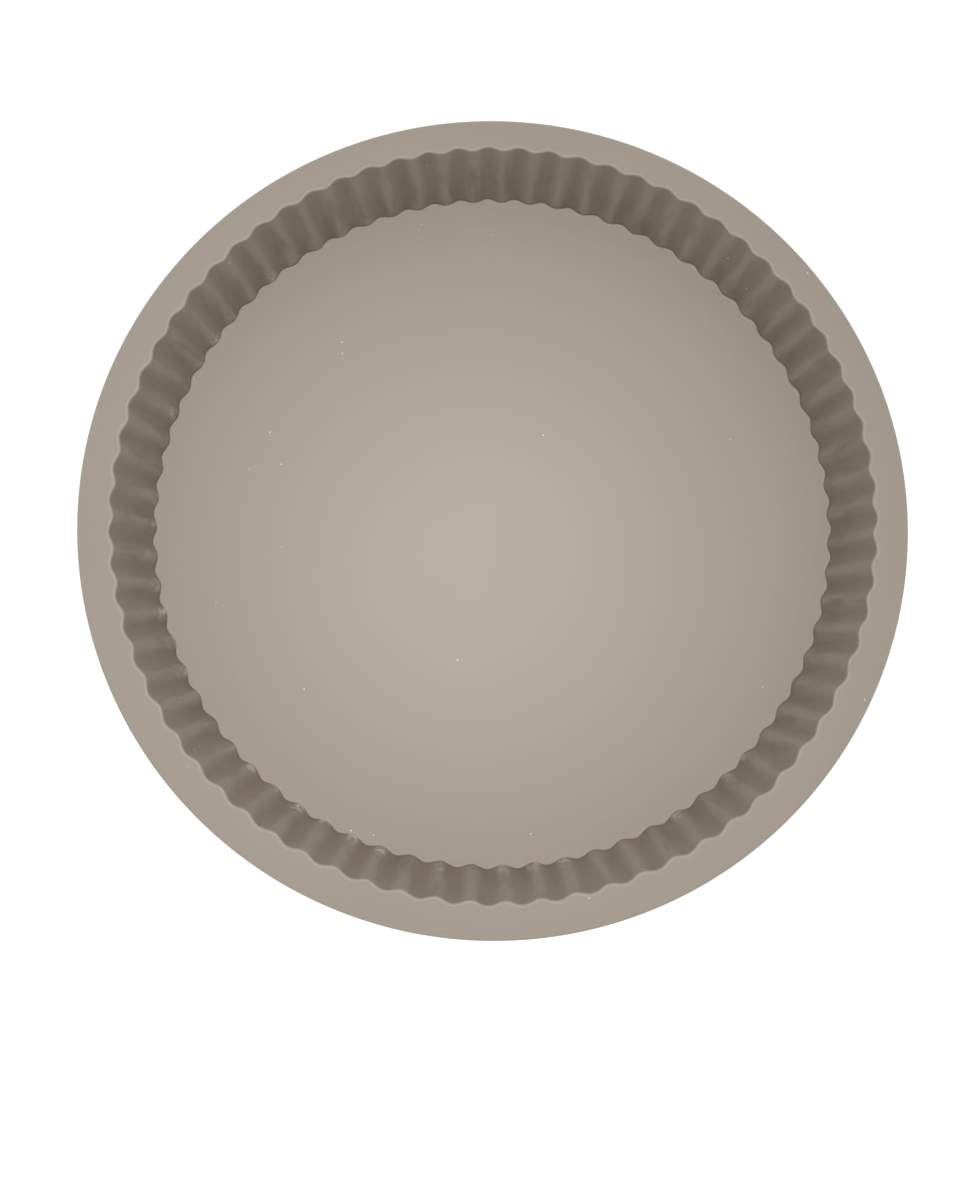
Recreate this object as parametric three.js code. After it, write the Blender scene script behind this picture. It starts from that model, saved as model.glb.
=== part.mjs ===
// Round fluted tart and cake mould, moulded in one shot from soft silicone.
// Millimetres, +Z up. The origin is the centre of the underside, so the mould stands on Z = 0.
//
// The moulding is one skin of even thickness: a flat floor, a bend up into a fluted side wall
// with draft, and a rounded lip over into a wide flat rim. Each of those regions is one mesh.
// Neighbours share the same points where they meet, so the skin runs on unbroken.
import * as THREE from "three";

// Driving dimensions.
const RIM_DIAMETER = 285;
const HEIGHT = 30;
const CAVITY_TOP_DIAMETER = 262; // across the middle of the flutes, level with the rim
const CAVITY_FLOOR_DIAMETER = 254; // across the middle of the flutes, level with the floor
const SKIN_THICKNESS = 1.8; // floor and wall
const RIM_THICKNESS = 2.2;
const CORNER_RADIUS = 1; // inside, where the floor bends up into the wall
const LIP_RADIUS = 0.7; // where the wall turns over into the rim
const RIM_EDGE_RADIUS = 1; // rounded top edge of the rim; the parting line leaves the lower edge square
const FLUTE_COUNT = 73;
const FLUTE_DEPTH = 1.5; // crest to hollow

// Facets.
const COLUMNS_PER_FLUTE = 6;
const CHORDS_PER_BEND = 2;
const COLUMNS = FLUTE_COUNT * COLUMNS_PER_FLUTE;

// The finish, a warm grey silicone with a satin surface.
const SILICONE_COLOUR = 0xa99f93;
const SILICONE_ROUGHNESS = 0.55;

// Heights and radii that follow from the driving dimensions.
const floorTop = SKIN_THICKNESS;
const rimUnderside = HEIGHT - RIM_THICKNESS;
const rimRadius = RIM_DIAMETER / 2;
const cavityFloorRadius = CAVITY_FLOOR_DIAMETER / 2;
const draft = Math.atan((CAVITY_TOP_DIAMETER - CAVITY_FLOOR_DIAMETER) / 2 / (HEIGHT - floorTop));

// The floor bends up about one centre, so the skin keeps its thickness round the corner.
const bendCentre = {
  r: cavityFloorRadius - (CORNER_RADIUS * (1 - Math.sin(draft))) / Math.cos(draft),
  z: floorTop + CORNER_RADIUS,
};

// The lip is tangent to the wall's inner face and to the top of the rim.
const lipRise = HEIGHT - LIP_RADIUS - floorTop;
const lipCentre = {
  r: cavityFloorRadius + (LIP_RADIUS + lipRise * Math.sin(draft)) / Math.cos(draft),
  z: HEIGHT - LIP_RADIUS,
};

// Points of a section on an arc. Angles run from +R towards +Z.
function arc(centre, radius, from, to) {
  const points = [];
  for (let i = 0; i <= CHORDS_PER_BEND; i++) {
    const angle = from + ((to - from) * i) / CHORDS_PER_BEND;
    points.push({ r: centre.r + radius * Math.cos(angle), z: centre.z + radius * Math.sin(angle) });
  }
  return points;
}

// The points of a section that follow the flutes round the mould.
const fluted = (points) => points.map((point) => ({ ...point, flute: true }));

// The points of a section that stay on plain circles.
const plain = (points) => points.map((point) => ({ ...point, flute: false }));

// How far the flutes push the skin outwards at an angle round the mould, and how fast that grows.
const fluteWave = (angle) => (FLUTE_DEPTH / 2) * Math.cos(FLUTE_COUNT * angle);
const fluteSlope = (angle) => -(FLUTE_DEPTH / 2) * FLUTE_COUNT * Math.sin(FLUTE_COUNT * angle);

// Radius of the wall's inner face at a height, through the middle of the flutes. Below the floor's top and
// above the rim's underside it runs straight up and down, so that the seams there stand upright.
function innerFaceRadius(z) {
  const rise = THREE.MathUtils.clamp(z, floorTop, rimUnderside) - floorTop;
  return cavityFloorRadius + rise * Math.tan(draft);
}

// Where a point of a section lies at an angle round the mould. A fluted point starts on the inner face,
// which rides in and out on the flutes, and is set off square to the flute, so the skin keeps its thickness.
function planPoint({ r, z, flute }, angle) {
  const face = flute ? innerFaceRadius(z) + fluteWave(angle) : r;
  const offset = flute ? r - innerFaceRadius(z) : 0;
  const square = angle - Math.atan2(fluteSlope(angle), face);
  return {
    x: face * Math.cos(angle) + offset * Math.cos(square),
    y: face * Math.sin(angle) + offset * Math.sin(square),
  };
}

// Revolves a section about +Z, with its fluted points following the flutes.
function flutedRevolve(section) {
  const geometry = new THREE.LatheGeometry(
    section.map(({ r, z }) => new THREE.Vector2(r, z)),
    COLUMNS,
  );
  const position = geometry.getAttribute("position");
  for (let i = 0; i < position.count; i++) {
    const point = section[i % section.length];
    const angle = (Math.floor(i / section.length) / COLUMNS) * 2 * Math.PI;
    const { x, y } = planPoint(point, angle);
    position.setXYZ(i, x, y, point.z);
  }
  geometry.computeVertexNormals();
  return geometry;
}

// Where the regions meet: floor to wall at the foot of the bend, wall to rim over the wall's outer face.
const rimSeamRadius = innerFaceRadius(rimUnderside) + SKIN_THICKNESS / Math.cos(draft);
const floorSeam = fluted([
  { r: bendCentre.r, z: 0 },
  { r: bendCentre.r, z: floorTop },
]);
const rimSeam = fluted([
  { r: rimSeamRadius, z: rimUnderside },
  { r: rimSeamRadius, z: HEIGHT },
]);

// Flat disc with a scalloped edge.
function floorSection() {
  const axis = plain([
    { r: 0, z: 0 },
    { r: 0, z: floorTop },
  ]);
  return [axis[0], ...floorSeam, axis[1]];
}

// Closed section of the wall, down its outside and up its inside.
function wallSection() {
  const down = -Math.PI / 2;
  const outerBend = arc(bendCentre, CORNER_RADIUS + SKIN_THICKNESS, down, -draft).reverse();
  const innerBend = arc(bendCentre, CORNER_RADIUS, down, -draft);
  const lip = arc(lipCentre, LIP_RADIUS, Math.PI - draft, Math.PI / 2);
  const outside = [rimSeam[0], ...fluted(outerBend)];
  const inside = fluted([...innerBend, ...lip]);
  return [...outside, ...inside, rimSeam[1], outside[0]].reverse();
}

// Closed section of the flat rim, from its fluted inner edge to its plain outer edge.
function rimSection() {
  const outerEdge = plain([
    { r: rimRadius, z: rimUnderside },
    { r: rimRadius, z: HEIGHT - RIM_EDGE_RADIUS },
    { r: rimRadius - RIM_EDGE_RADIUS, z: HEIGHT },
  ]);
  return [rimSeam[0], ...outerEdge, rimSeam[1], rimSeam[0]];
}

// One region of the moulding as a named mesh.
function region(name, section) {
  const material = new THREE.MeshStandardMaterial({
    color: SILICONE_COLOUR,
    roughness: SILICONE_ROUGHNESS,
    metalness: 0,
  });
  const mesh = new THREE.Mesh(flutedRevolve(section), material);
  mesh.name = name;
  return mesh;
}

const mould = new THREE.Group();
mould.name = "tart_mould";
mould.add(region("floor", floorSection()));
mould.add(region("fluted_wall", wallSection()));
mould.add(region("rim", rimSection()));

export default mould;
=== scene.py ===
"""Looks of a round fluted baking mould in warm grey silicone, standing on a white worktop.

The mould is one moulding: a flat floor, a fluted wall with draft, a rounded lip and a wide flat rim. It is
made here as one unbroken skin, which stands for the three regions that the CAD model splits it into.
"""

import math

import bmesh
import bpy
from bpy.props import FloatProperty, FloatVectorProperty, IntProperty, PointerProperty
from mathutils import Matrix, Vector


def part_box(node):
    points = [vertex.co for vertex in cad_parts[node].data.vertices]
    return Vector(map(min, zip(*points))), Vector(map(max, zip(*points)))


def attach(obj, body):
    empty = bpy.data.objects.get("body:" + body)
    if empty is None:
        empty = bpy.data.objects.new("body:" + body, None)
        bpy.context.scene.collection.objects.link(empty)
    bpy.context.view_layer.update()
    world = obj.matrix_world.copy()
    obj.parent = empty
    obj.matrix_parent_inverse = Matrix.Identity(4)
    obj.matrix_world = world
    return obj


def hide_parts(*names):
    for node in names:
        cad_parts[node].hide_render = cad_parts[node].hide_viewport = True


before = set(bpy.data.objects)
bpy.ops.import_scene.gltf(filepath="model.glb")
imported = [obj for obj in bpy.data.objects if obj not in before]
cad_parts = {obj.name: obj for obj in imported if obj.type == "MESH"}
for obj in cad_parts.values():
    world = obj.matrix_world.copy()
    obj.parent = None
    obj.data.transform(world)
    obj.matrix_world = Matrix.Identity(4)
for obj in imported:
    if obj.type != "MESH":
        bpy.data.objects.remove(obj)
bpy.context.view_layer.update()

bl_info = {
    "name": "Fluted Baking Mould",
    "version": (1, 0, 0),
    "blender": (4, 5, 0),
    "location": "3D View > Sidebar > Mould",
    "description": "Makes a round fluted silicone baking mould and a white worktop to show it on",
    "category": "Add Mesh",
}

MM = 0.001
RIM_LOW, RIM_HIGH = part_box("rim")
FLOOR_LOW, FLOOR_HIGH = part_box("floor")

# Facets of the skin.
COLUMNS_PER_FLUTE = 12
CHORDS_PER_BEND = 6
WALL_RINGS = 5
FLAT_RINGS = 2
HOLDING_RING_GAP = 0.4 * MM  # keeps the flat faces flat up to the bends in smooth shading
HELD_LENGTH = 4 * HOLDING_RING_GAP  # a shorter stretch of the section has no holding rings
WIDE_FLAT = 4 * MM  # a narrower flat has no rings across it
MERGE_DISTANCE = 0.001 * MM

# How far off the wall's inner face a point still follows the flutes.
FLUTED_FROM = -1.5 * MM
FLUTED_TO = 3.0 * MM

# How far up a flute a point lies, from 0 in the hollow to 1 on the crest that stands proud of its side.
# The colour uses it to paint shade in the hollows, light on the crests and glints at their foot.
CREST_ATTRIBUTE = "crest"
CREST_SHARPNESS = 1.5  # the crests are narrower than the hollows

# How much painted highlight the lip and the rim's outer edge get, and 0 elsewhere.
EDGE_ATTRIBUTE = "edge"
EDGE_HIGHLIGHT = 0.75
EDGE_MARGIN = 0.1 * MM  # takes in the ring where the rim's rounded edge begins


def to_linear(hex_colour):
    """Linear red, green and blue of an sRGB hex colour."""
    channels = [int(hex_colour[i : i + 2], 16) / 255 for i in (1, 3, 5)]
    return [c / 12.92 if c <= 0.04045 else ((c + 0.055) / 1.055) ** 2.4 for c in channels]


def length_setting(name, description, default):
    """Property for a length in metres."""
    return FloatProperty(
        name=name,
        description=description,
        default=default,
        subtype="DISTANCE",
        unit="LENGTH",
    )


def place_setting(name, description, default):
    """Property for a place in metres."""
    return FloatVectorProperty(
        name=name,
        description=description,
        default=default,
        size=3,
        subtype="TRANSLATION",
        unit="LENGTH",
    )


def colour_setting(name, description, hex_colour):
    """Property for a colour, with an sRGB hex colour as its default."""
    return FloatVectorProperty(
        name=name,
        description=description,
        default=to_linear(hex_colour),
        size=3,
        min=0,
        max=1,
        subtype="COLOR",
    )


def share_setting(name, description, default):
    """Property for a share from 0 to 1."""
    return FloatProperty(
        name=name,
        description=description,
        default=default,
        min=0,
        max=1,
        subtype="FACTOR",
    )


class MouldSizes(bpy.types.PropertyGroup):
    """Sizes of the moulding."""

    rim_diameter: length_setting(
        "Rim Diameter",
        "Across the outside of the flat rim",
        RIM_HIGH.x - RIM_LOW.x,
    )
    height: length_setting(
        "Height",
        "From the worktop to the top of the rim",
        RIM_HIGH.z,
    )
    cavity_top_diameter: length_setting(
        "Cavity Top",
        "Across the middle of the flutes, level with the rim",
        262 * MM,
    )
    cavity_floor_diameter: length_setting(
        "Cavity Floor",
        "Across the middle of the flutes, level with the floor",
        254 * MM,
    )
    skin_thickness: length_setting(
        "Skin",
        "Thickness of the floor and the wall",
        FLOOR_HIGH.z - FLOOR_LOW.z,
    )
    rim_thickness: length_setting(
        "Rim",
        "Thickness of the flat rim",
        RIM_HIGH.z - RIM_LOW.z,
    )
    foot_radius: length_setting(
        "Foot Radius",
        "Inside radius where the floor bends up into the wall",
        0.4 * MM,
    )
    lip_radius: length_setting(
        "Lip",
        "Radius where the wall turns over into the rim",
        0.7 * MM,
    )
    rim_edge_radius: length_setting(
        "Rim Edge",
        "Radius of the rim's rounded top edge",
        1 * MM,
    )
    parting_edge_radius: length_setting(
        "Parting Edge",
        "Radius left on the rim's lower edge, where the two halves of the tool part",
        0.2 * MM,
    )
    under_rim_radius: length_setting(
        "Under Rim",
        "Radius where the outside of the wall meets the underside of the rim",
        0.5 * MM,
    )
    flute_count: IntProperty(
        name="Flutes",
        description="Number of flutes round the wall",
        default=73,
        min=3,
    )
    flute_depth: length_setting(
        "Flute Depth",
        "From the crest of a flute to its hollow",
        1.5 * MM,
    )


class MouldFinish(bpy.types.PropertyGroup):
    """Colours and gloss of the silicone, with its painted light, shade and glints."""

    silicone: colour_setting(
        "Silicone",
        "Colour of the pigmented silicone",
        "#a79e94",
    )
    silicone_cloud: colour_setting(
        "Clouding",
        "Colour of the faint paler clouds in the silicone",
        "#ada399",
    )
    # Painted shade: the wall and the hollows of its flutes are darker, standing in for the shade that falls
    # there.
    wall_shade: colour_setting(
        "Oiled Wall",
        "Colour of the wall where it keeps a trace of oil, as in the hollows of its flutes",
        "#968f7d",
    )
    baked_patch: colour_setting(
        "Baked Patches",
        "Colour of the patches of the wall where the oil has baked on, browner",
        "#988c7f",
    )
    # Used both for oil that has run down the wall and baked on, and for the painted shade in the corner at
    # its foot.
    oil_run_and_foot_shade: colour_setting(
        "Baked Oil",
        "Colour of the oil that has baked on in runs down the wall and in the corner at its foot",
        "#71685c",
    )
    # Painted light: the paler crests, upper wall, lip and rim edge stand in for the light that falls there.
    painted_light: colour_setting(
        "Rubbed Edges",
        "Colour of the crests of the flutes, the lip and the edge of the rim, rubbed paler in use",
        "#b0a89a",
    )
    # Used both for real specks of dust and for the painted glints at the foot of the crests.
    dust_and_glint: colour_setting(
        "Dust",
        "Colour of the specks of lint and flour that silicone holds, and of dried wash water",
        "#f2eee5",
    )
    roughness: share_setting(
        "Roughness",
        "Mean roughness of the satin surface",
        0.45,
    )


class MouldStage(bpy.types.PropertyGroup):
    """Worktop and light."""

    worktop: colour_setting(
        "Worktop",
        "Colour of the plain pale worktop",
        "#f4f4f4",
    )
    lamp_power: FloatProperty(
        name="Lamp Power",
        description="Power of the soft lamp over the mould",
        default=0.5,
        min=0,
        unit="POWER",
    )
    lamp_place: place_setting(
        "Lamp Place",
        "Middle of the soft lamp, which hangs over the mould",
        (0.0, 0.08, 1.1),
    )
    lamp_aim: place_setting(
        "Lamp Aim",
        "Where the middle of the soft lamp's beam falls",
        (-0.02, -0.018, 0.0),
    )
    lamp_colour: colour_setting(
        "Lamp Colour",
        "Colour of the soft lamp, a little warm",
        "#fffaf5",
    )
    lamp_diameter: length_setting(
        "Lamp Diameter",
        "Diameter of the soft lamp",
        0.45,
    )
    lamp_spread: FloatProperty(
        name="Lamp Spread",
        description="Angle over which the soft lamp's grid fans its light out",
        default=math.radians(40),
        subtype="ANGLE",
        unit="ROTATION",
    )
    ceiling_light: share_setting(
        "Ceiling Light",
        "Strength of the light that the room gives from above",
        0.28,
    )
    side_light: share_setting(
        "Side Light",
        "Strength of the light that the room's pale walls give, low down all round",
        0.68,
    )


def to_mesh(name, bm):
    """Turns a bmesh into a named mesh."""
    mesh = bpy.data.meshes.new(name)
    bm.to_mesh(mesh)
    bm.free()
    return mesh


def add_object(scene, name, data):
    """Adds a named object to the scene, at the origin."""
    added = bpy.data.objects.new(name, data)
    scene.collection.objects.link(added)
    return added


def bare_tree(owner):
    """Node tree of a material or a world, with nothing in it yet."""
    owner.use_nodes = True
    owner.node_tree.nodes.clear()
    return owner.node_tree


def add_node(tree, kind, inputs=None, **settings):
    """Adds a node with its settings, and sets or links its inputs.

    An input goes by its name, or by its place among the sockets in use. It is linked where the value is a
    socket or a node, which stands for its first output in use. Colours are linear red, green and blue.
    """
    node = tree.nodes.new(kind)
    for name, value in settings.items():
        setattr(node, name, value)
    in_use = [socket for socket in node.inputs if socket.enabled]
    for key, value in (inputs or {}).items():
        socket = in_use[key] if isinstance(key, int) else node.inputs[key]
        if isinstance(value, bpy.types.Node):
            value = next(output for output in value.outputs if output.enabled)
        if isinstance(value, bpy.types.NodeSocket):
            tree.links.new(value, socket)
        else:
            socket.default_value = (*value, 1) if socket.type == "RGBA" else value
    return node


def per_metre(size_mm):
    """Texture scale on Object coordinates that gives a pattern this size in millimetres."""
    return 1000 / size_mm


def rim_underside(sizes):
    """Height of the underside of the rim."""
    return sizes.height - sizes.rim_thickness


def wall_draft(sizes):
    """Lean of the wall from upright."""
    rise = sizes.height - sizes.skin_thickness
    return math.atan((sizes.cavity_top_diameter - sizes.cavity_floor_diameter) / 2 / rise)


def inner_face_radius(sizes, z):
    """Radius of the wall's inner face at a height, through the middle of the flutes."""
    return sizes.cavity_floor_diameter / 2 + (z - sizes.skin_thickness) * math.tan(wall_draft(sizes))


def section_corners(sizes):
    """Corners of the skin's section as radius, height and rounding, from the axis over the rim and back."""
    rim_radius = sizes.rim_diameter / 2
    underside = rim_underside(sizes)
    wall_width = sizes.skin_thickness / math.cos(wall_draft(sizes))
    return [
        (0, sizes.skin_thickness, 0),
        (inner_face_radius(sizes, sizes.skin_thickness), sizes.skin_thickness, sizes.foot_radius),
        (inner_face_radius(sizes, sizes.height), sizes.height, sizes.lip_radius),
        (rim_radius, sizes.height, sizes.rim_edge_radius),
        (rim_radius, underside, sizes.parting_edge_radius),
        (inner_face_radius(sizes, underside) + wall_width, underside, sizes.under_rim_radius),
        (inner_face_radius(sizes, 0) + wall_width, 0, sizes.foot_radius + sizes.skin_thickness),
        (0, 0, 0),
    ]


def round_corner(bm, corner, radius):
    """Rounds a corner of a polyline to a radius."""
    before, after = (edge.other_vert(corner).co - corner.co for edge in corner.link_edges)
    turn = math.pi - before.angle(after)
    bmesh.ops.bevel(
        bm,
        geom=[corner],
        offset=radius * math.tan(turn / 2),
        offset_type="OFFSET",
        segments=CHORDS_PER_BEND,
        profile=0.5,
        affect="VERTICES",
        material=-1,
    )


def draw_section(bm, sizes):
    """Draws the section of the skin in the XZ plane, with its corners rounded."""
    corners = section_corners(sizes)
    verts = [bm.verts.new((r, 0, z)) for r, z, _ in corners]
    for pair in zip(verts, verts[1:]):
        bm.edges.new(pair)
    for vert, (_, _, radius) in zip(verts, corners):
        if radius:
            round_corner(bm, vert, radius)


def hold_ends(edge):
    """Adds a ring close to each end of a straight stretch of the section."""
    start, end = edge.verts
    _, ring = bmesh.utils.edge_split(edge, start, HOLDING_RING_GAP / edge.calc_length())
    rest = max(ring.link_edges, key=lambda part: part.calc_length())
    bmesh.utils.edge_split(rest, end, HOLDING_RING_GAP / rest.calc_length())


def edge_rise(edge):
    """Height between the two ends of an edge."""
    start, end = edge.verts
    return abs(start.co.z - end.co.z)


def add_rings(bm, sizes):
    """Divides the section where the skin gets rings: beside its bends, up its wall, across its flats."""
    straights = [edge for edge in bm.edges if edge.calc_length() > HELD_LENGTH]
    for edge in straights:
        hold_ends(edge)
    wall = [edge for edge in bm.edges if edge_rise(edge) > sizes.height / 2]
    bmesh.ops.subdivide_edges(bm, edges=wall, cuts=WALL_RINGS)
    level = [edge for edge in bm.edges if edge_rise(edge) < HOLDING_RING_GAP]
    flats = [edge for edge in level if edge.calc_length() > WIDE_FLAT]
    bmesh.ops.subdivide_edges(bm, edges=flats, cuts=FLAT_RINGS)


def mark_edges(bm, sizes):
    """Marks the lip and the rim's outer edge for painted light, while they still lie on plain circles."""
    edge = bm.verts.layers.float.new(EDGE_ATTRIBUTE)
    lip_end = inner_face_radius(sizes, sizes.height) + sizes.lip_radius
    rim_bend = sizes.rim_diameter / 2 - sizes.rim_edge_radius - EDGE_MARGIN
    for vert in bm.verts:
        x, y, z = vert.co
        if z > sizes.height - sizes.lip_radius and not lip_end < math.hypot(x, y) < rim_bend:
            vert[edge] = EDGE_HIGHLIGHT


def follow_flutes(bm, sizes):
    """Moves the wall in and out on its flutes.

    What lies off the wall's inner face is set off square to the flute, so the skin keeps its thickness.
    """
    half_depth = sizes.flute_depth / 2
    underside = rim_underside(sizes)
    crest = bm.verts.layers.float.new(CREST_ATTRIBUTE)
    for vert in bm.verts:
        x, y, z = vert.co
        face = inner_face_radius(sizes, min(max(z, sizes.skin_thickness), underside))
        offset = math.hypot(x, y) - face
        if not FLUTED_FROM < offset < FLUTED_TO:
            continue
        angle = math.atan2(y, x)
        outward = math.cos(sizes.flute_count * angle)
        proud = outward if offset > sizes.skin_thickness / 2 else -outward
        vert[crest] = ((1 + proud) / 2) ** CREST_SHARPNESS
        face += half_depth * outward
        slope = -half_depth * sizes.flute_count * math.sin(sizes.flute_count * angle)
        square = angle - math.atan2(slope, face)
        vert.co.x = face * math.cos(angle) + offset * math.cos(square)
        vert.co.y = face * math.sin(angle) + offset * math.sin(square)


def moulding_mesh(sizes):
    """The whole moulding as one closed mesh."""
    bm = bmesh.new()
    draw_section(bm, sizes)
    add_rings(bm, sizes)
    bmesh.ops.spin(
        bm,
        geom=bm.verts[:] + bm.edges[:],
        cent=(0, 0, 0),
        axis=(0, 0, 1),
        dvec=(0, 0, 0),
        angle=2 * math.pi,
        steps=sizes.flute_count * COLUMNS_PER_FLUTE,
        use_merge=True,
        use_normal_flip=False,
        use_duplicate=False,
    )
    bmesh.ops.remove_doubles(bm, verts=bm.verts[:], dist=MERGE_DISTANCE)
    mark_edges(bm, sizes)
    follow_flutes(bm, sizes)
    bmesh.ops.recalc_face_normals(bm, faces=bm.faces[:])
    for face in bm.faces:
        face.smooth = True
    return to_mesh("mould_skin", bm)


# Sizes of the patterns in the finish, in millimetres.
CLOUD_MM = 70
BAKED_PATCH_MM = 22
GLINT_STRETCH_MM = 16
STREAK_MM = 5
GLINT_BREAK_MM = 2.5
SPECK_CELL_MM = 4
SPECK_RADIUS_MM = 0.38
GRAIN_MM = 0.8  # the tool's satin is finer than a pixel, so its grain is drawn a few times coarser

# Finer layers within a pattern.
CLOUD_DETAIL = 3
STREAK_DETAIL = 3
GLINT_BREAK_DETAIL = 4

STREAK_STRETCH = 4  # how much longer a streak is, down the wall, than it is wide
CLEAN_SHARE = 0.945  # of the cells, which hold no speck
SPECK_CORE = 0.6  # of a speck's radius, where it has not begun to fade
GRAIN_DEPTH = 0.02 * MM
GRAIN_STRENGTH = 0.15
SATIN_VARIATION = 0.04  # either side of the mean roughness
SILICONE_IOR = 1.45

# The side towards which the painted glints at the foot of the crests show.
GLINTS_TOWARDS = (-0.7, -0.71, 0.0)

# How much of a coat shows at its strongest: painted light, oil runs, painted shade and painted glints.
CREST_LIGHT = 0.88
LIP_LIGHT = 0.5
OIL_RUN = 0.22
FOOT_SHADE = 0.5
GLINT = 0.8

# Limits of a coat: the reading where there is none of it, and the reading where it is full.
AS_READ = (0, 1)
WALL_LEVEL = (0.8, 0.3)  # from 1 on the floor and the rim to 0 on an upright face
LIP_LIGHT_HEIGHT = (2 * MM, 30 * MM)
CREST_LIGHT_STREAK = (0.28, 0.58)
BAKED_PATCH = (0.42, 0.58)
OIL_RUN_STREAK = (0.52, 0.36)
FOOT_SHADE_OUTWARD = (0, -50 * MM)  # below 0 on what faces the axis
FOOT_SHADE_HEIGHT = (3 * MM, 2.3 * MM)
GLINT_CREST = (0.35, 0.8)
# The side here is where the painted glints show, not a side that drained.
GLINT_SIDE = (-80 * MM, 120 * MM)  # from the axis towards the side that drained last
GLINT_HEIGHT = (11 * MM, 3.5 * MM)
GLINT_STRETCH = (0.4, 0.55)
GLINT_BREAK = (0.42, 0.6)
SPECK_FAINTNESS = (-0.3, 0.7)  # the faintest speck is still at 0.3


def mask(tree, strength, *limited):
    """How much of a coat shows, up to its strength, from pairs of a value and the coat's limits on it."""
    for value, (none, full) in limited:
        inputs = {"Value": value, "From Min": none, "From Max": full, "To Max": strength}
        strength = add_node(tree, "ShaderNodeMapRange", inputs)
    return strength


def painted_wall_light(tree, wall, crest, height, streaks):
    """Painted light: the wall is paler on the crests of its flutes, in streaks, and towards the lip."""
    towards_lip = mask(tree, LIP_LIGHT, (wall, AS_READ), (height, LIP_LIGHT_HEIGHT))
    on_crest = mask(tree, CREST_LIGHT, (wall, AS_READ), (crest, AS_READ), (streaks, CREST_LIGHT_STREAK))
    return add_node(tree, "ShaderNodeMath", {0: towards_lip, 1: on_crest}, operation="ADD")


def painted_foot_shade(tree, place, normal, height):
    """Painted shade: a dark line in the corner at the foot of the wall, only on what faces the axis."""
    outward = add_node(tree, "ShaderNodeVectorMath", {0: place, 1: normal}, operation="DOT_PRODUCT")
    return mask(tree, FOOT_SHADE, (outward, FOOT_SHADE_OUTWARD), (height, FOOT_SHADE_HEIGHT))


def painted_glints(tree, place, wall, crest, height):
    """Painted glints: pale marks at the foot of the crests, in stretches, on one side."""
    side = add_node(tree, "ShaderNodeVectorMath", {0: place, 1: GLINTS_TOWARDS}, operation="DOT_PRODUCT")
    stretches = add_node(
        tree,
        "ShaderNodeTexNoise",
        {"Vector": place, "Scale": per_metre(GLINT_STRETCH_MM)},
    )
    glint_breaks = add_node(
        tree,
        "ShaderNodeTexNoise",
        {"Vector": place, "Scale": per_metre(GLINT_BREAK_MM), "Detail": GLINT_BREAK_DETAIL},
    )
    return mask(
        tree,
        GLINT,
        (wall, AS_READ),
        (crest, GLINT_CREST),
        (side, GLINT_SIDE),
        (height, GLINT_HEIGHT),
        (stretches, GLINT_STRETCH),
        (glint_breaks, GLINT_BREAK),
    )


def specks(tree, place):
    """Small specks, some fainter. Each cell holds one at most, and most cells hold none."""
    scale = per_metre(SPECK_CELL_MM)
    cells = add_node(tree, "ShaderNodeTexVoronoi", {"Vector": place, "Scale": scale}).outputs
    lot = add_node(tree, "ShaderNodeSeparateColor", {0: cells["Color"]}).outputs
    chosen = add_node(tree, "ShaderNodeMath", {0: lot["Red"], 1: CLEAN_SHARE}, operation="GREATER_THAN")
    radius = SPECK_RADIUS_MM / SPECK_CELL_MM
    fade = (radius, SPECK_CORE * radius)
    return mask(tree, chosen, (cells["Distance"], fade), (lot["Green"], SPECK_FAINTNESS))


def wear_and_painted_light(tree, finish, place, normal, clouds):
    """Colour of the silicone, with its clouds and then its coats, real and painted light, one over the
    other.
    """
    height = add_node(tree, "ShaderNodeSeparateXYZ", {0: place}).outputs["Z"]
    facing = add_node(tree, "ShaderNodeSeparateXYZ", {0: normal}).outputs["Z"]
    level = add_node(tree, "ShaderNodeMath", {0: facing}, operation="ABSOLUTE")
    wall = mask(tree, 1, (level, WALL_LEVEL))
    crest = add_node(tree, "ShaderNodeAttribute", attribute_name=CREST_ATTRIBUTE).outputs["Fac"]
    edge = add_node(tree, "ShaderNodeAttribute", attribute_name=EDGE_ATTRIBUTE).outputs["Fac"]
    patches = add_node(tree, "ShaderNodeTexNoise", {"Vector": place, "Scale": per_metre(BAKED_PATCH_MM)})
    stretched = add_node(tree, "ShaderNodeMapping", {"Vector": place, "Scale": (1, 1, 1 / STREAK_STRETCH)})
    streaks = add_node(
        tree,
        "ShaderNodeTexNoise",
        {"Vector": stretched, "Scale": per_metre(STREAK_MM), "Detail": STREAK_DETAIL},
    )
    coats = (
        (clouds, finish.silicone_cloud),
        # painted shade over the whole wall, which the painted light on the crests then lifts
        (wall, finish.wall_shade),
        (mask(tree, 1, (wall, AS_READ), (patches, BAKED_PATCH)), finish.baked_patch),
        (mask(tree, OIL_RUN, (wall, AS_READ), (streaks, OIL_RUN_STREAK)), finish.oil_run_and_foot_shade),
        # painted light on the crests and towards the lip
        (painted_wall_light(tree, wall, crest, height, streaks), finish.painted_light),
        # painted highlight on the lip and painted light on the rim's outer edge
        (edge, finish.painted_light),
        # painted shade in the corner at the foot of the wall
        (painted_foot_shade(tree, place, normal, height), finish.oil_run_and_foot_shade),
        # painted glints at the foot of the crests
        (painted_glints(tree, place, wall, crest, height), finish.dust_and_glint),
        (specks(tree, place), finish.dust_and_glint),
    )
    colour = finish.silicone
    for share, coat in coats:
        colour = add_node(tree, "ShaderNodeMix", {0: share, 1: colour, 2: coat}, data_type="RGBA")
    return colour


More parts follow.
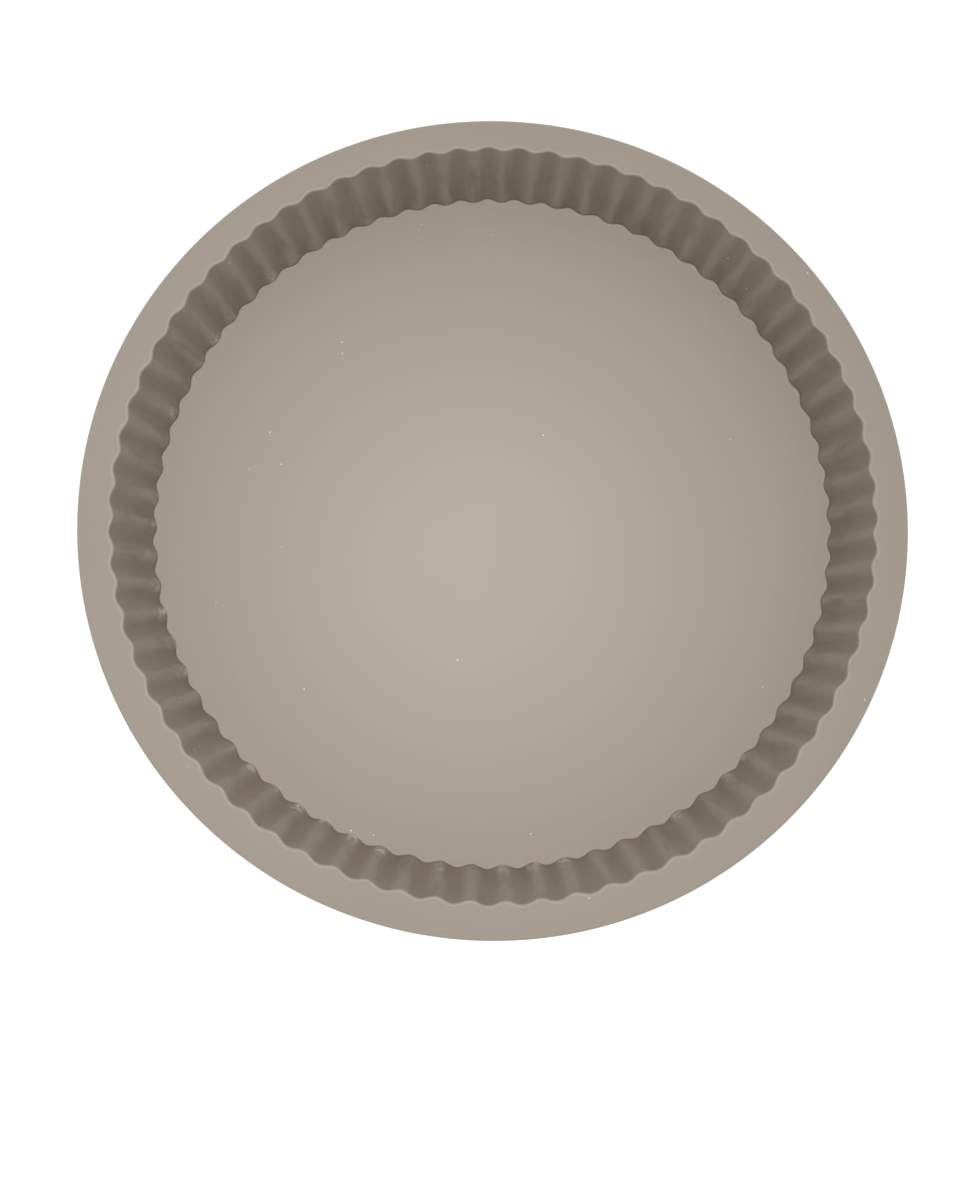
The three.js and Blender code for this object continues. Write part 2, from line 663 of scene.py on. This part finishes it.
def moulded_silicone(finish):
    """Pigmented silicone rubber, compression moulded in a satin tool.

    The eye sees one warm grey with a soft wide sheen and faint clouds in the pigment. The lip and the edge
    of the rim carry painted light, and so do the crests of the flutes, in streaks, and the upper wall. The
    wall and the hollows of its flutes are darker with painted shade, and a line of painted shade lies in
    the corner at its foot. Oil has baked on in patches and in runs down the wall. Pale marks at the foot
    of the crests are painted glints. There are a few pale specks, because silicone holds lint and flour.
    """
    material = bpy.data.materials.new("moulded_silicone")
    tree = bare_tree(material)
    coordinates = add_node(tree, "ShaderNodeTexCoord").outputs
    place = coordinates["Object"]
    clouds = add_node(
        tree,
        "ShaderNodeTexNoise",
        {"Vector": place, "Scale": per_metre(CLOUD_MM), "Detail": CLOUD_DETAIL},
    )
    colour = wear_and_painted_light(tree, finish, place, coordinates["Normal"], clouds)
    satin = add_node(
        tree,
        "ShaderNodeMapRange",
        {
            "Value": clouds,
            "To Min": finish.roughness - SATIN_VARIATION,
            "To Max": finish.roughness + SATIN_VARIATION,
        },
    )
    grain = add_node(tree, "ShaderNodeTexNoise", {"Vector": place, "Scale": per_metre(GRAIN_MM)})
    bump = add_node(
        tree,
        "ShaderNodeBump",
        {"Height": grain, "Strength": GRAIN_STRENGTH, "Distance": GRAIN_DEPTH},
    )
    shader = add_node(
        tree,
        "ShaderNodeBsdfPrincipled",
        {"Base Color": colour, "Roughness": satin, "Normal": bump, "IOR": SILICONE_IOR},
    )
    add_node(tree, "ShaderNodeOutputMaterial", {"Surface": shader})
    return material


class MOULD_OT_make_moulding(bpy.types.Operator):
    """Make the silicone moulding"""

    bl_idname = "baking_mould.make_moulding"
    bl_label = "Make Moulding"

    def execute(self, context):
        scene = context.scene
        skin = add_object(scene, "mould_skin", moulding_mesh(scene.mould_sizes))
        skin.data.materials.append(moulded_silicone(scene.mould_finish))
        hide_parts("floor", "fluted_wall", "rim")
        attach(skin, "root")
        return {"FINISHED"}


# Where the photograph was taken from, from its perspective: wide, close, and nearly straight down.
CAMERA_PLACE = Vector((-9.24, -50.67, 303.9)) * MM
CAMERA_TURN_DEGREES = (8.381, -1.108, -2.466)
CAMERA_LENS_MM = 24.36
CAMERA_SHIFT = (-0.0025, -0.0575)
CAMERA_CLIP_START = 10 * MM

WHITE = (1, 1, 1)
CEILING_FROM = 0.5  # sine of the height at which the room's walls have given way to its ceiling
WORKTOP_SIZE = 8.0
WORKTOP_GLOW = 1.2
GLOW_SHARE = 0.75  # of the worktop that the camera sees; the rest takes light and shadow


def set_camera(scene):
    """Camera at the photograph's viewpoint."""
    data = bpy.data.cameras.new("camera")
    data.lens = CAMERA_LENS_MM
    data.shift_x, data.shift_y = CAMERA_SHIFT
    data.clip_start = CAMERA_CLIP_START
    scene.camera = add_object(scene, "camera", data)
    scene.camera.location = CAMERA_PLACE
    scene.camera.rotation_euler = [math.radians(turn) for turn in CAMERA_TURN_DEGREES]


def seen_directly(tree):
    """1 where a ray comes straight from the camera, or by way of a reflection or through glass."""
    path = add_node(tree, "ShaderNodeLightPath").outputs
    seen = path["Is Camera Ray"]
    for way in ("Is Glossy Ray", "Is Transmission Ray"):
        seen = add_node(tree, "ShaderNodeMath", {0: seen, 1: path[way]}, operation="MAXIMUM")
    return seen


def set_room(scene, stage):
    """White room to look at, which lights the mould faintly, from its walls more than from its ceiling."""
    scene.world = bpy.data.worlds.new("room")
    tree = bare_tree(scene.world)
    towards = add_node(tree, "ShaderNodeTexCoord").outputs["Generated"]
    up = add_node(tree, "ShaderNodeSeparateXYZ", {0: towards}).outputs["Z"]
    light = add_node(
        tree,
        "ShaderNodeMapRange",
        {"Value": up, "From Max": CEILING_FROM, "To Min": stage.side_light, "To Max": stage.ceiling_light},
        interpolation_type="SMOOTHSTEP",
    )
    strength = add_node(tree, "ShaderNodeMix", {0: seen_directly(tree), 1: light, 2: 1})
    room = add_node(tree, "ShaderNodeBackground", {"Color": WHITE, "Strength": strength})
    add_node(tree, "ShaderNodeOutputWorld", {"Surface": room})


def painted_worktop(colour):
    """Matt white paint that looks white from the camera and still takes the mould's shadow."""
    material = bpy.data.materials.new("painted_worktop")
    tree = bare_tree(material)
    paint = add_node(tree, "ShaderNodeBsdfDiffuse", {"Color": colour})
    glow = add_node(tree, "ShaderNodeEmission", {"Color": WHITE, "Strength": WORKTOP_GLOW})
    share = add_node(tree, "ShaderNodeMath", {0: seen_directly(tree), 1: GLOW_SHARE}, operation="MULTIPLY")
    surface = add_node(tree, "ShaderNodeMixShader", {0: share, 1: paint, 2: glow})
    add_node(tree, "ShaderNodeOutputMaterial", {"Surface": surface})
    return material


def lay_worktop(scene, stage):
    """Plain worktop under the mould."""
    bm = bmesh.new()
    bmesh.ops.create_grid(bm, x_segments=1, y_segments=1, size=WORKTOP_SIZE / 2)
    worktop = add_object(scene, "worktop", to_mesh("worktop", bm))
    worktop.data.materials.append(painted_worktop(stage.worktop))


def hang_lamp(scene, stage):
    """Round soft lamp over the mould."""
    data = bpy.data.lights.new("soft_lamp", "AREA")
    data.shape = "DISK"
    data.size = stage.lamp_diameter
    data.spread = stage.lamp_spread
    data.energy = stage.lamp_power
    data.color = stage.lamp_colour
    lamp = add_object(scene, "soft_lamp", data)
    lamp.location = stage.lamp_place
    beam = Vector(stage.lamp_aim) - Vector(stage.lamp_place)
    lamp.rotation_euler = beam.to_track_quat("-Z", "Y").to_euler()


class MOULD_OT_set_stage(bpy.types.Operator):
    """Set up the camera, the worktop and the light"""

    bl_idname = "baking_mould.set_stage"
    bl_label = "Set Stage"

    def execute(self, context):
        scene = context.scene
        stage = scene.mould_stage
        scene.view_settings.view_transform = "Standard"
        set_camera(scene)
        set_room(scene, stage)
        lay_worktop(scene, stage)
        hang_lamp(scene, stage)
        return {"FINISHED"}


class MOULD_PT_panel(bpy.types.Panel):
    """Settings and steps of the baking mould"""

    bl_idname = "MOULD_PT_panel"
    bl_label = "Baking Mould"
    bl_space_type = "VIEW_3D"
    bl_region_type = "UI"
    bl_category = "Mould"

    def draw(self, context):
        scene = context.scene
        steps = (
            ((scene.mould_stage,), MOULD_OT_set_stage),
            ((scene.mould_sizes, scene.mould_finish), MOULD_OT_make_moulding),
        )
        for groups, step in steps:
            column = self.layout.column()
            for settings in groups:
                for name in settings.__annotations__:
                    column.prop(settings, name)
            column.operator(step.bl_idname)


CLASSES = (MouldSizes, MouldFinish, MouldStage, MOULD_OT_set_stage, MOULD_OT_make_moulding, MOULD_PT_panel)


def register():
    for cls in CLASSES:
        bpy.utils.register_class(cls)
    bpy.types.Scene.mould_sizes = PointerProperty(type=MouldSizes)
    bpy.types.Scene.mould_finish = PointerProperty(type=MouldFinish)
    bpy.types.Scene.mould_stage = PointerProperty(type=MouldStage)


def unregister():
    del bpy.types.Scene.mould_stage
    del bpy.types.Scene.mould_finish
    del bpy.types.Scene.mould_sizes
    for cls in reversed(CLASSES):
        bpy.utils.unregister_class(cls)


def main():
    register()
    bpy.ops.baking_mould.set_stage()
    bpy.ops.baking_mould.make_moulding()


if __name__ == "__main__":
    main()
